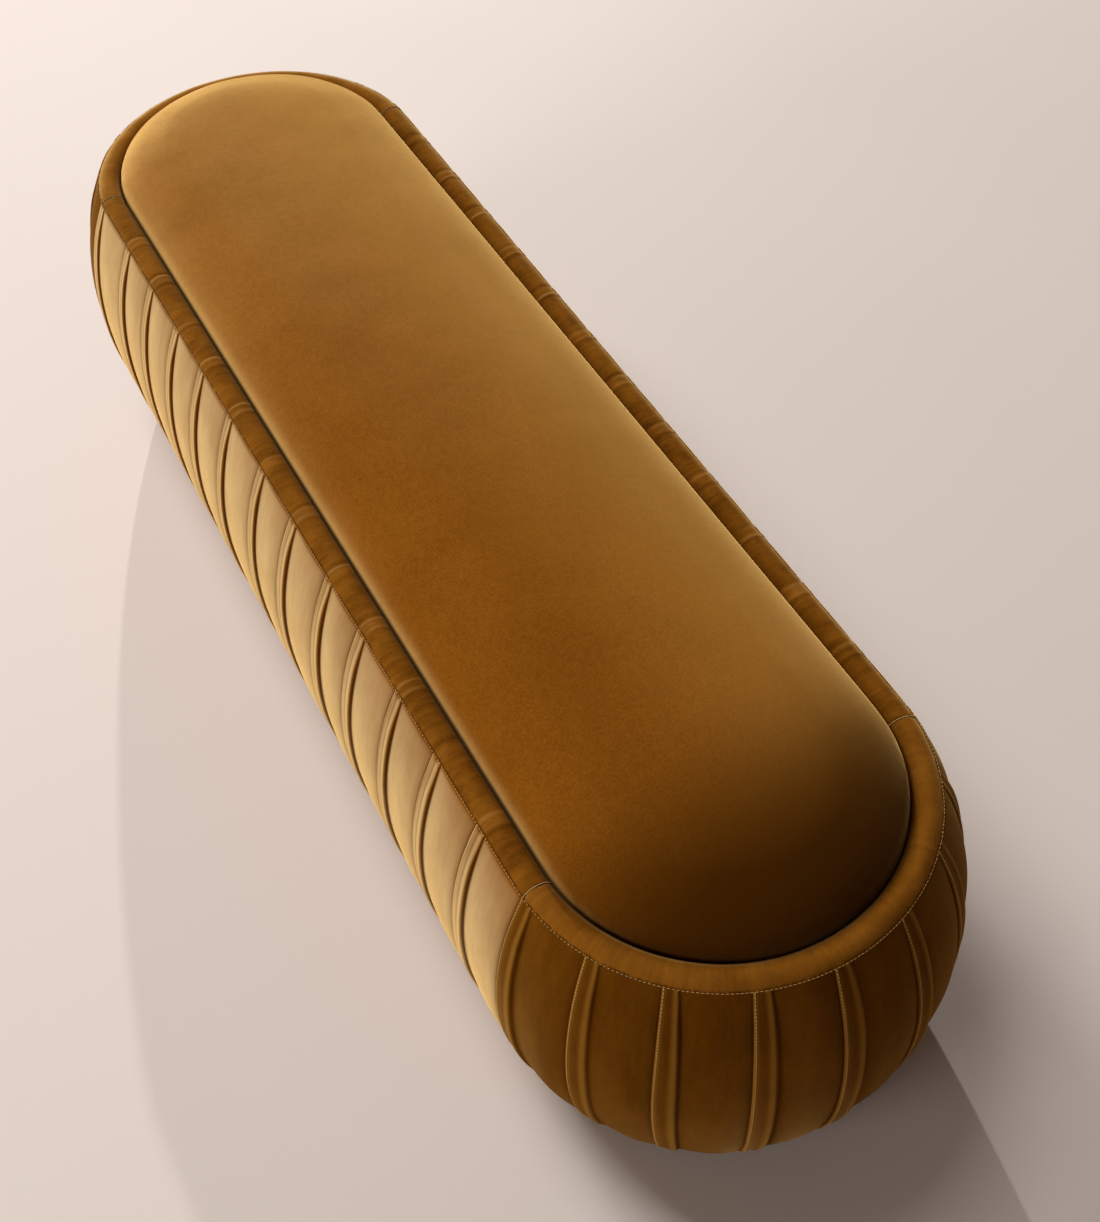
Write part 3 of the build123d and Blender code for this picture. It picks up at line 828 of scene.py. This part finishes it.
def cuffSection():
    # reach, height, lean of the surface and how much of the pucker shows there
    innerReach = bench["padReach"] + cuff["gap"]
    seamEdge = seamReach - cuff["seamInset"]
    section = []
    for step in range(cuff["crownSteps"] + 1):
        share = step / cuff["crownSteps"]
        reach = seamEdge + (innerReach - seamReach) * share
        base = bench["seamHeight"] - cuff["innerDrop"] * share
        fall = abs(2 * share - 1) ** (cuff["outerRound"] if share < 0.5 else cuff["innerRound"])
        height = base + cuff["crown"] * (1 - fall) - cuff["seamTuck"] * (1 - smoothStep(0, 0.08, share))
        lean = math.pi / 2 - cuff["mostLean"] * (1 - 2 * share)
        section.append((reach, height, lean, math.sin(math.pi * share) ** 0.6 * (1 - 0.5 * share)))
    section += [(innerReach, height, math.pi, 0) for height in (0.360, 0.350, cuff["bottom"])]
    outer = sideReachAt(cuff["bottom"]) - cuff["bottomInset"]
    foot = [((innerReach + outer) / 2, cuff["bottom"]), (outer, cuff["bottom"])]
    foot += [(outer - 0.0035, 0.354), (seamEdge, 0.3664)]
    return section + [(reach, height, 0, 0) for reach, height in foot]


def fromPleat(along, number):
    # the shorter way along the seam from a pleat's edge
    return (along - edgeOfPleat[number] + wholeWay / 2) % wholeWay - wholeWay / 2


def puckerAt(along):
    # fine ridges across the cuff where the pleats are sewn in below
    total = 0
    nearest = min(range(pleatTotal), key=lambda number: abs(fromPleat(along, number)))
    offset = fromPleat(along, nearest) * 1000
    for middle, width, height in cuff["ridges"]:
        ridge = height * math.exp(-(((offset - middle) / width) ** 2))
        total += ridge * (0.6 + 1.1 * wobble(nearest * 4.1, middle, 2.2))
    onEnd = smoothStep(halfLength - 0.02, halfLength + 0.02, abs(spotAt(along, seamReach, 0).x))
    return total * (1 - cuff["endLoss"] * onEnd)


def makeCuff(name, node, firstPleat, panels):
    section = cuffSection()
    start, end = pleatEdge(firstPleat), pleatEdge(firstPleat + panels)
    columns = round((end - start) / cuff["stepLength"])

    def place(column, row):
        reach, height, lean, shown = section[row % len(section)]
        along = start + (end - start) * column / columns
        pucker = puckerAt(along)
        spot = spotAt(along, cuff["wobbleReach"], 0)
        fine = cuff["fineWobble"] * wobble(spot.x * 30, spot.y * 30, reach * 60)
        soft = cuff["softWobble"] * wobble(spot.x * 9, spot.y * 9, 5.5)
        fromJoint = min(column, columns - column) * (end - start) / columns
        dip = cuff["jointDepth"] * (1 - smoothStep(0, cuff["jointWidth"], fromJoint)) * min(shown * 3, 1)
        lift = pucker * cuff["pucker"] * shown + shown * (fine + soft) - dip
        # painted shade: fully dark past the crevice, darker towards the pad and in the ridges' hollows,
        # with painted highlight on the ridges
        tone = -1
        if row < cuff["creviceRow"]:
            shade = cuff["shade"] * smoothStep(cuff["shadeRow"], cuff["creviceRow"], row)
            tone = (pucker * cuff["crest"] - cuff["darker"]) * min(shown * 2, 1) - shade
        return spotAt(along, *movedOut(reach, height, lift, lean)), (along, reach, tone)

    piece = wrapGrid(columns, len(section), place, name)
    subdivide(piece, 1)
    # the ends' cuffs get the lit copy: painted light
    piece.data.materials.append(endCuffVelvet if "End" in name else cuffVelvet)
    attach(piece, "root")
    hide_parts(f"cuff_cover_{node}", f"cuff_roll_{node}")


for tail, node, firstPleat, panels in lengths:
    makeCuff(f"cuff_{tail}", node, firstPleat, panels)
print("cuff made")

stitch = {
    "length": 0.0030,
    "thickness": 0.0009,
    "flatness": 0.8,
    "foldAcross": 1.3,  # where the stitched line lies on a pleat's section, in millimetres
    "foldHeight": 2.25,
    "seamPitch": 0.0042,
    "seamLength": 0.0034,
    "seamThickness": 0.0006,
    "jointOverlap": 1.25,
    "jointThickness": 0.0012,
    "proud": 0.0003,  # how far the threads of seam and joints stand off the cloth
}


def makeBead():
    work = bmesh.new()
    bmesh.ops.create_uvsphere(work, u_segments=6, v_segments=4, radius=0.5)
    mesh = bpy.data.meshes.new("bead")
    work.to_mesh(mesh)
    work.free()
    return mesh


bead = makeBead()


def addStitch(work, spot, along, outward, length, thickness):
    # one stitch: a short rounded bead of thread lying on the cloth
    side = along.cross(outward).normalized()
    outward = side.cross(along).normalized()
    turn = Matrix((along.normalized(), side, outward)).transposed().to_4x4()
    size = Matrix.Diagonal((length, thickness, thickness * stitch["flatness"], 1))
    placed = bead.copy()
    placed.transform(Matrix.Translation(spot) @ turn @ size)
    work.from_mesh(placed)
    bpy.data.meshes.remove(placed)


def keepStitches(work, name, node):
    piece = keepMesh(work, name)
    piece.data.materials.append(goldThread)
    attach(piece, "root")
    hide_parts(node)


def makePleatStitches(tail, node, firstPleat, panels):
    work = bmesh.new()
    line = sideLine(hemSteps=0, turnSteps=12, sideSteps=88)
    for number in range(firstPleat, firstPleat + panels):
        spots = []
        for reach, height, lean, share in line:
            start = pleatEdge(number) + pleatDrift(number, share)
            lift = stitch["foldHeight"] * pleatHeight(number, share) / 1000
            at = start + stitch["foldAcross"] * pleatWidth(number, share) / 1000
            spots.append(spotAt(at, *movedOut(reach, height, lift, lean)))
        outward = benchSpot(pleatEdge(number))[1]
        for before, after in zip(spots, spots[1:]):
            middle = (before + after) / 2
            addStitch(work, middle, after - before, outward, stitch["length"], stitch["thickness"])
    keepStitches(work, f"pleatStitches_{tail}", f"pleat_stitches_{node}")


def makeSeamThread():
    work = bmesh.new()
    count = round(wholeWay / stitch["seamPitch"])
    for step in range(count):
        along = wholeWay * (step + 0.5) / count
        outward = benchSpot(along)[1]
        spot = spotAt(along, seamReach + stitch["proud"], bench["seamHeight"])
        tangent = Vector((-outward.y, outward.x, 0))
        upOut = (outward + Vector((0, 0, 1))).normalized()
        addStitch(work, spot, tangent, upOut, stitch["seamLength"], stitch["seamThickness"])
    keepStitches(work, "seamThread", "seam_thread")


def makeCuffJoints():
    work = bmesh.new()
    crown = cuffSection()[: cuff["crownSteps"] + 1]
    up = Vector((0, 0, 1))
    for tail, node, firstPleat, panels in lengths:
        along = pleatEdge(firstPleat)
        spots = [spotAt(along, reach, height + stitch["proud"]) for reach, height, lean, shown in crown]
        for before, after in zip(spots, spots[1:]):
            way = after - before
            length = way.length * stitch["jointOverlap"]
            addStitch(work, (before + after) / 2, way, up, length, stitch["jointThickness"])
    keepStitches(work, "cuffJointThreads", "cuff_joint_threads")


for tail, node, firstPleat, panels in lengths:
    makePleatStitches(tail, node, firstPleat, panels)
makeSeamThread()
makeCuffJoints()
print("stitches made")

under = {
    "reach": 0.1718,
    "height": 0.0123,
    "thickness": 0.0006,
    "slack": 0.0005,
    "slackWithin": 0.03,
    "glideX": (0.175, 0.525),
    "glideY": 0.1248,
    "feltRadius": 0.018,
    "feltDepth": 0.003,
    "feltRound": 0.0006,
}


def nonwovenFinish():
    finish = Finish("blackNonwoven", Specular_IOR_Level=0.25, Sheen_Weight=0.15)
    fibres = finish.noise(finish.place((1, 0.3, 1)), 900, detail=3, roughness=0.7, distortion=0.6)
    dots = finish.wire(
        "ShaderNodeTexVoronoi",
        {"feature": "F1"},
        {"Vector": finish.place(), "Scale": 420, "Randomness": 0.1},
        "Distance",
    )
    pressed = finish.band(dots, 0.25, 0.45)
    colour = finish.mix((0.012, 0.012, 0.013), (0.045, 0.045, 0.047), fibres * pressed)
    roughness = finish.evened(fibres, 0.75, 0.95)
    return finish.feed(Base_Color=colour, Roughness=roughness, Normal=finish.bump(pressed, 0.0002))


def feltFinish():
    finish = Finish("greyFelt", Specular_IOR_Level=0.1, Sheen_Weight=0.3)
    fibres = finish.noise(finish.place(), 1500, detail=4, roughness=0.7, distortion=1.0)
    clumps = finish.noise(finish.place(), 260)
    colour = finish.mix((0.055, 0.048, 0.042), (0.16, 0.145, 0.13), fibres * 0.6 + clumps * 0.4)
    roughness = finish.evened(clumps, 0.85, 0.98)
    return finish.feed(Base_Color=colour, Roughness=roughness, Normal=finish.bump(fibres, 0.0003))


def makeDustCover():
    section = [(under["reach"] * step / 10, under["height"]) for step in range(11)]
    piece = keepMesh(sweepSection(section, straightSteps=60, endSteps=20), "dustCover")
    for vert in piece.data.vertices:
        # it hangs a little slack between the staples
        fromEdge = under["reach"] - max(abs(vert.co.y), 0.0001)
        slack = under["slack"] * smoothStep(0.0, under["slackWithin"], fromEdge)
        vert.co.z -= slack * (0.5 + 0.5 * wobble(vert.co.x * 8, vert.co.y * 8, 0.5))
    solid = piece.modifiers.new("thickness", "SOLIDIFY")
    solid.thickness = under["thickness"]
    solid.offset = 0
    piece.data.materials.append(nonwovenFinish())
    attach(piece, "root")
    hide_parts("dust_cover")


def makeFelts():
    work = bmesh.new()
    for x in (-under["glideX"][1], -under["glideX"][0], *under["glideX"]):
        for y in (-under["glideY"], under["glideY"]):
            bmesh.ops.create_cone(
                work,
                cap_ends=True,
                segments=32,
                radius1=under["feltRadius"],
                radius2=under["feltRadius"],
                depth=under["feltDepth"],
                matrix=Matrix.Translation((x, y, under["feltDepth"] / 2)),
            )
    rims = [edge for edge in work.edges if abs(edge.verts[0].co.z - edge.verts[1].co.z) < 0.0001]
    bmesh.ops.bevel(
        work, geom=rims, offset=under["feltRound"], segments=2, profile=0.5, affect="EDGES", material=-1
    )
    piece = keepMesh(work, "glideFelts")
    piece.data.materials.append(feltFinish())
    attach(piece, "root")
    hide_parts("glide_felts")


makeDustCover()
makeFelts()
print("underside made")


# finishes of the frame and its hardware, which keep their own meshes
def woodFinish(name, pale, brown, grainScale, stretch, roughness):
    finish = Finish(name, Specular_IOR_Level=0.35)
    inputs = {
        "Vector": finish.place(stretch),
        "Scale": grainScale,
        "Distortion": 6,
        "Detail": 3,
        "Detail Scale": 1.2,
    }
    rings = finish.wire("ShaderNodeTexWave", {"wave_type": "BANDS", "bands_direction": "Y"}, inputs)
    pores = finish.noise(finish.place((stretch[0] * 2, 60, 60)), 12, detail=3, roughness=0.6)
    colour = finish.mix(pale, brown, rings * 0.6 + pores * 0.4)
    dull = finish.evened(pores, roughness, roughness + 0.2)
    return finish.feed(Base_Color=colour, Roughness=dull, Normal=finish.bump(pores, 0.0002))


def zincFinish():
    finish = Finish("brightZinc", Metallic=1.0)
    spangle = finish.wire("ShaderNodeTexVoronoi", {}, {"Vector": finish.place(), "Scale": 320}, "Distance")
    scratch = finish.noise(finish.place((1, 1, 0.1)), 1500)
    colour = finish.mix((0.50, 0.51, 0.52), (0.78, 0.78, 0.76), spangle * 0.5 + scratch * 0.5)
    roughness = finish.evened(scratch, 0.28, 0.45)
    return finish.feed(Base_Color=colour, Roughness=roughness, Normal=finish.bump(scratch, 0.00005))


def plasticFinish():
    finish = Finish("darkGlidePlastic", Specular_IOR_Level=0.5)
    speckle = finish.noise(finish.place(), 1800)
    wear = finish.noise(finish.place(), 120, detail=3)
    colour = finish.mix((0.018, 0.016, 0.015), (0.05, 0.046, 0.042), wear)
    roughness = finish.evened(wear, 0.4, 0.6)
    return finish.feed(Base_Color=colour, Roughness=roughness, Normal=finish.bump(speckle, 0.0001))


plywood = woodFinish("birchPlywood", (0.62, 0.45, 0.27), (0.46, 0.30, 0.16), 22, (1, 6, 40), 0.55)
bendyPly = woodFinish("bendingPlywood", (0.55, 0.39, 0.22), (0.38, 0.24, 0.12), 30, (1, 5, 5), 0.6)
pine = woodFinish("planedPine", (0.68, 0.48, 0.26), (0.50, 0.30, 0.13), 14, (9, 9, 1), 0.5)
zinc = zincFinish()
glidePlastic = plasticFinish()
finishOf = {
    "base_board": plywood,
    "top_ring": plywood,
    "seat_board": plywood,
    "side_board_front": bendyPly,
    "side_board_back": bendyPly,
    "side_board_right_end": bendyPly,
    "side_board_left_end": bendyPly,
    "frame_posts": pine,
    "end_posts": pine,
    "cross_rails": pine,
    "corner_blocks": pine,
    "frame_screws": zinc,
    "seat_screws": zinc,
    "glide_screws": zinc,
    "dust_cover_staples": zinc,
    "foot_glides": glidePlastic,
}
for node, material in finishOf.items():
    mesh = cadNodes[node].data
    if not mesh.materials:
        mesh.materials.append(material)
    for slot in cadNodes[node].material_slots:
        slot.material = material
print("frame finished")

room = {
    "floorSize": 9,
    "floorDark": (0.72, 0.645, 0.605),
    "floorPale": (0.76, 0.685, 0.645),
    "fill": (1.0, 0.73, 0.56),  # soft light from all round
    "fillStrength": 0.108,
    "backdrop": (0.86, 0.80, 0.77),  # what the camera sees past the floor
}


def makeFloor():
    work = bmesh.new()
    bmesh.ops.create_grid(work, x_segments=1, y_segments=1, size=room["floorSize"])
    piece = keepMesh(work, "floor", smooth=False)
    finish = Finish("paleFloor", Specular_IOR_Level=0.2)
    patches = finish.noise(finish.place(), 1.3, detail=3)
    colour = finish.mix(room["floorDark"], room["floorPale"], patches)
    material = finish.feed(Base_Color=colour, Roughness=finish.evened(patches, 0.6, 0.75))
    piece.data.materials.append(material)


def makeWorld():
    world = bpy.data.worlds.new("paleRoom")
    bpy.context.scene.world = world
    world.use_nodes = True
    nodes = Nodes(world.node_tree)
    fill = nodes.wire("ShaderNodeBackground", {}, {"Color": room["fill"], "Strength": room["fillStrength"]})
    backdrop = nodes.wire("ShaderNodeBackground", {}, {"Color": room["backdrop"], "Strength": 1.0})
    seen = nodes.wire("ShaderNodeLightPath", {}, {}, "Is Camera Ray")
    both = nodes.wire("ShaderNodeMixShader", {}, {0: seen, 1: fill, 2: backdrop})
    nodes.node("ShaderNodeOutputWorld", {}, {"Surface": both})


lampAim = Vector((0, 0, 0.2))
lamps = {
    "windowLamp": {
        "place": (-6.8, -2.8, 7.5),
        "size": (3.5, 3.5),
        "power": 680,
        "colour": (1.0, 0.98, 0.96),
    },
    "topLamp": {
        "place": (-3.1, -1.1, 10.0),
        "size": (3.0, 3.0),
        "power": 248,
        "colour": (1.0, 0.98, 0.96),
    },
    "rightLamp": {
        "place": (-9.4, 3.1, 3.6),
        "size": (0.14, 0.14),
        "power": 492,
        "colour": (1.0, 0.97, 0.94),
    },
    "leftLamp": {
        "place": (0.7, -8.4, 1.8),
        "size": (3.9, 1.8),
        "power": 340,
        "colour": (1.0, 0.97, 0.94),
    },
}


def makeLamp(name, lamp):
    light = bpy.data.lights.new(name, "AREA")
    light.shape = "RECTANGLE"
    light.size, light.size_y = lamp["size"]
    light.energy = lamp["power"]
    light.color = lamp["colour"]
    piece = bpy.data.objects.new(name, light)
    bpy.context.scene.collection.objects.link(piece)
    piece.location = lamp["place"]
    piece.rotation_mode = "QUATERNION"
    piece.rotation_quaternion = (lampAim - Vector(lamp["place"])).to_track_quat("-Z", "Y")


view = {
    "place": (1.31594, -0.51022, 1.70970),
    "right": (0.471287, 0.880975, -0.042091),
    "down": (0.664261, -0.385939, -0.640163),
    "forward": (-0.580212, 0.273741, -0.767085),
    "lens": 50.845,
    "sensorWidth": 36,
    "nearest": 0.05,
    "furthest": 60,
}


def makeCamera():
    lens = bpy.data.cameras.new("photoView")
    lens.lens = view["lens"]
    lens.sensor_width = view["sensorWidth"]
    lens.clip_start = view["nearest"]
    lens.clip_end = view["furthest"]
    piece = bpy.data.objects.new("photoView", lens)
    bpy.context.scene.collection.objects.link(piece)
    turn = Matrix((view["right"], -Vector(view["down"]), -Vector(view["forward"]))).transposed()
    piece.rotation_mode = "QUATERNION"
    piece.rotation_quaternion = turn.to_quaternion()
    piece.location = view["place"]
    bpy.context.scene.camera = piece


makeFloor()
makeWorld()
for name, lamp in lamps.items():
    makeLamp(name, lamp)
makeCamera()
bpy.context.scene.view_settings.view_transform = "Standard"
print("floor, lights and camera made")

bpy.context.view_layer.update()
